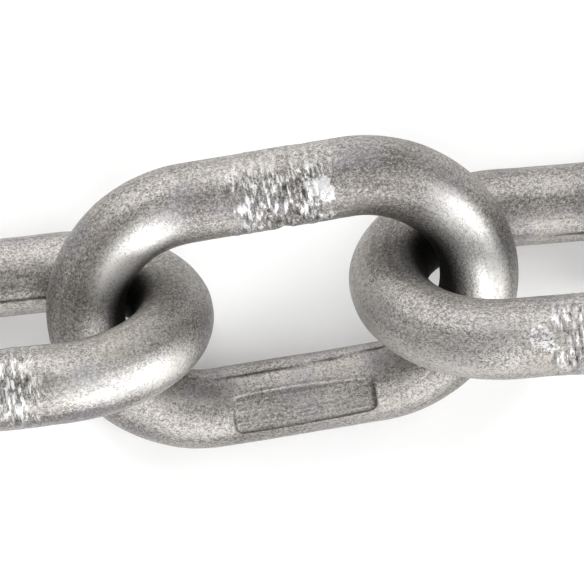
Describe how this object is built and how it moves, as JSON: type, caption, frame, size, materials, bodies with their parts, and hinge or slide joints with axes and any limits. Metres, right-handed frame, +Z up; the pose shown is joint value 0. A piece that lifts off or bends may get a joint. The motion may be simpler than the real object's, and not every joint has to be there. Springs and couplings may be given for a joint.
{
  "type": "steel chain",
  "caption": "Straight length of welded medium-link steel chain, laid on a level floor with its links leaning by turns to one side and the other.",
  "frame": {"origin": "on the floor, under the middle of the chain's run", "axes": "+X along the run of the chain, +Z up from the floor, +Y to the side that the flatter links are raised on"},
  "size_m": [0.9778, 0.0462, 0.0451],
  "materials": {
    "bare_steel": "bare drawn steel with no coating, mid grey, finely pitted and dull, with bright rubbed places"
  },
  "bodies": {
    "link_01": {"link_01": "bare_steel"},
    "link_02": {"link_02": "bare_steel"},
    "link_03": {"link_03": "bare_steel"},
    "link_04": {"link_04": "bare_steel"},
    "link_05": {"link_05": "bare_steel"},
    "link_06": {"link_06": "bare_steel"},
    "link_07": {"link_07": "bare_steel"},
    "link_08": {"link_08": "bare_steel"},
    "link_09": {"link_09": "bare_steel"},
    "link_10": {"link_10": "bare_steel"},
    "link_11": {"link_11": "bare_steel"},
    "link_12": {"link_12": "bare_steel"},
    "link_13": {"link_13": "bare_steel"},
    "link_14": {"link_14": "bare_steel"},
    "link_15": {"link_15": "bare_steel"},
    "link_16": {"link_16": "bare_steel"},
    "link_17": {"link_17": "bare_steel"},
    "link_18": {"link_18": "bare_steel"},
    "link_19": {"link_19": "bare_steel"}
  },
  "joints": [
    {"name": "swing_11", "type": "hinge", "parent": "link_10", "child": "link_11", "pos_m": [0.03273, 0.00187, 0.01818], "axis": [-0.039, 0.7966, 0.6032], "range_deg": [-90, 90]},
    {"name": "swing_12", "type": "hinge", "parent": "link_11", "child": "link_12", "pos_m": [0.08242, -0.0025, 0.02127], "axis": [-0.0237, -0.6477, 0.7615], "range_deg": [-90, 90]},
    {"name": "swing_13", "type": "hinge", "parent": "link_12", "child": "link_13", "pos_m": [0.1333, 0.00108, 0.01818], "axis": [0.039, -0.7966, -0.6032], "range_deg": [-90, 90]},
    {"name": "swing_14", "type": "hinge", "parent": "link_13", "child": "link_14", "pos_m": [0.18238, -0.00148, 0.02243], "axis": [0.003, 0.5707, -0.8211], "range_deg": [-90, 90]},
    {"name": "swing_15", "type": "hinge", "parent": "link_14", "child": "link_15", "pos_m": [0.23263, 0.00187, 0.01818], "axis": [-0.039, 0.7966, 0.6032], "range_deg": [-90, 90]},
    {"name": "swing_16", "type": "hinge", "parent": "link_15", "child": "link_16", "pos_m": [0.28232, -0.0025, 0.02127], "axis": [-0.0237, -0.6477, 0.7615], "range_deg": [-90, 90]},
    {"name": "swing_17", "type": "hinge", "parent": "link_16", "child": "link_17", "pos_m": [0.3332, 0.00108, 0.01818], "axis": [0.039, -0.7966, -0.6032], "range_deg": [-90, 90]},
    {"name": "swing_18", "type": "hinge", "parent": "link_17", "child": "link_18", "pos_m": [0.38228, -0.00148, 0.02243], "axis": [0.003, 0.5707, -0.8211], "range_deg": [-90, 90]},
    {"name": "swing_19", "type": "hinge", "parent": "link_18", "child": "link_19", "pos_m": [0.43253, 0.00187, 0.01818], "axis": [-0.039, 0.7966, 0.6032], "range_deg": [-90, 90]},
    {"name": "swing_09", "type": "hinge", "parent": "link_10", "child": "link_09", "pos_m": [-0.03219, -0.0013, 0.01818], "axis": [-0.039, 0.7966, 0.6032], "range_deg": [-90, 90]},
    {"name": "swing_08", "type": "hinge", "parent": "link_09", "child": "link_08", "pos_m": [-0.08252, -0.00114, 0.02243], "axis": [-0.003, -0.5707, 0.8211], "range_deg": [-90, 90]},
    {"name": "swing_07", "type": "hinge", "parent": "link_08", "child": "link_07", "pos_m": [-0.13152, -0.0021, 0.01818], "axis": [0.039, -0.7966, -0.6032], "range_deg": [-90, 90]},
    {"name": "swing_06", "type": "hinge", "parent": "link_07", "child": "link_06", "pos_m": [-0.18244, -0.00012, 0.02127], "axis": [0.0237, 0.6477, -0.7615], "range_deg": [-90, 90]},
    {"name": "swing_05", "type": "hinge", "parent": "link_06", "child": "link_05", "pos_m": [-0.23209, -0.0013, 0.01818], "axis": [-0.039, 0.7966, 0.6032], "range_deg": [-90, 90]},
    {"name": "swing_04", "type": "hinge", "parent": "link_05", "child": "link_04", "pos_m": [-0.28242, -0.00114, 0.02243], "axis": [-0.003, -0.5707, 0.8211], "range_deg": [-90, 90]},
    {"name": "swing_03", "type": "hinge", "parent": "link_04", "child": "link_03", "pos_m": [-0.33143, -0.0021, 0.01818], "axis": [0.039, -0.7966, -0.6032], "range_deg": [-90, 90]},
    {"name": "swing_02", "type": "hinge", "parent": "link_03", "child": "link_02", "pos_m": [-0.38234, -0.00012, 0.02127], "axis": [0.0237, 0.6477, -0.7615], "range_deg": [-90, 90]},
    {"name": "swing_01", "type": "hinge", "parent": "link_02", "child": "link_01", "pos_m": [-0.43199, -0.0013, 0.01818], "axis": [-0.039, 0.7966, 0.6032], "range_deg": [-90, 90]}
  ]
}
